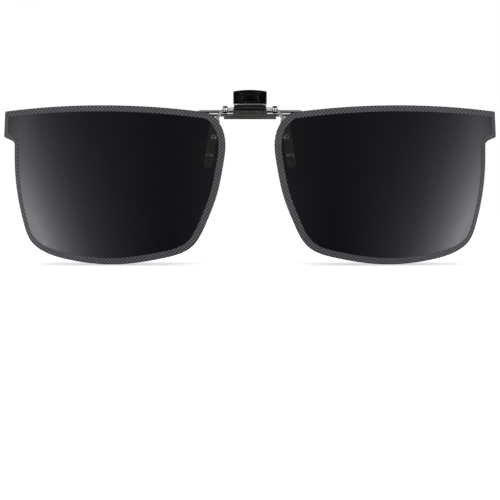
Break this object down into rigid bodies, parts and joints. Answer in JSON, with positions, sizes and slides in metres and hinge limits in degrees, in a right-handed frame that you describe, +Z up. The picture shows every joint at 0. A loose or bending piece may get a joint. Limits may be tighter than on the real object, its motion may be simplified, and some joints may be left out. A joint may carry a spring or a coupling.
{
  "type": "clip on sunglasses",
  "caption": "Flip-up clip-on sunglasses: dark lenses with a mesh-printed border hang from a hinged shaft on a sprung clip with sleeved wire claws.",
  "frame": {"origin": "centre of the grip: on the mid-plane, midway between the front and rear claws' flat sleeves", "axes": "+X to the wearer's left, -Y out of the lenses' fronts, +Z up"},
  "size_m": [0.1452, 0.011, 0.0514],
  "materials": {
    "lens": "polished dark grey polarised lens",
    "border_print": "fine woven-mesh print under a clear coat",
    "chrome": "polished plating",
    "bright_steel": "drawn wire, bright",
    "grey_steel": "satin",
    "dark_steel": "black oxide",
    "gunmetal": "satin gunmetal plating",
    "jaw_steel": "satin nickel plating",
    "spring_steel": "bright spring wire",
    "black_moulding": "glossy black",
    "silicone": "soft translucent grey"
  },
  "bodies": {
    "clamp_base": {"detent_spring": "spring_steel", "hinge_block": "black_moulding", "jaw_pin": "grey_steel", "left_back_rivet": "grey_steel", "left_front_claw": "bright_steel", "left_front_rivet": "grey_steel", "left_front_sleeve": "silicone", "right_back_rivet": "grey_steel", "right_front_claw": "bright_steel", "right_front_rivet": "grey_steel", "right_front_sleeve": "silicone", "saddle": "gunmetal", "torsion_spring": "spring_steel"},
    "rear_jaw": {"jaw_plate": "jaw_steel", "left_rear_claw": "bright_steel", "left_rear_sleeve": "silicone", "lever_cap": "black_moulding", "right_rear_claw": "bright_steel", "right_rear_sleeve": "silicone"},
    "lens_frame": {"flip_shaft": "chrome", "left_arm_nut": "dark_steel", "left_arm_screw": "dark_steel", "left_lens": "lens", "left_lens_arm": "chrome", "left_lens_border": "border_print", "left_lens_key": "dark_steel", "left_lens_nut": "dark_steel", "left_lens_screw": "dark_steel", "left_lens_tab": "grey_steel", "left_lens_washer": "dark_steel", "right_arm_nut": "dark_steel", "right_arm_screw": "dark_steel", "right_lens": "lens", "right_lens_arm": "chrome", "right_lens_border": "border_print", "right_lens_key": "dark_steel", "right_lens_nut": "dark_steel", "right_lens_screw": "dark_steel", "right_lens_tab": "grey_steel", "right_lens_washer": "dark_steel"}
  },
  "joints": [
    {"name": "flip_pivot", "type": "hinge", "parent": "clamp_base", "child": "lens_frame", "pos_m": [0, -0.0037, 0.0063], "axis": [-1, 0, 0], "range_deg": [0, 90], "deforming": ["detent_spring"]},
    {"name": "jaw_pivot", "type": "hinge", "parent": "clamp_base", "child": "rear_jaw", "pos_m": [0, -0.0003, 0.0064], "axis": [1, 0, 0], "range_deg": [0, 28], "stiffness_Nm_per_rad": 0.015, "springref_deg": -45.84, "deforming": ["torsion_spring"]}
  ]
}
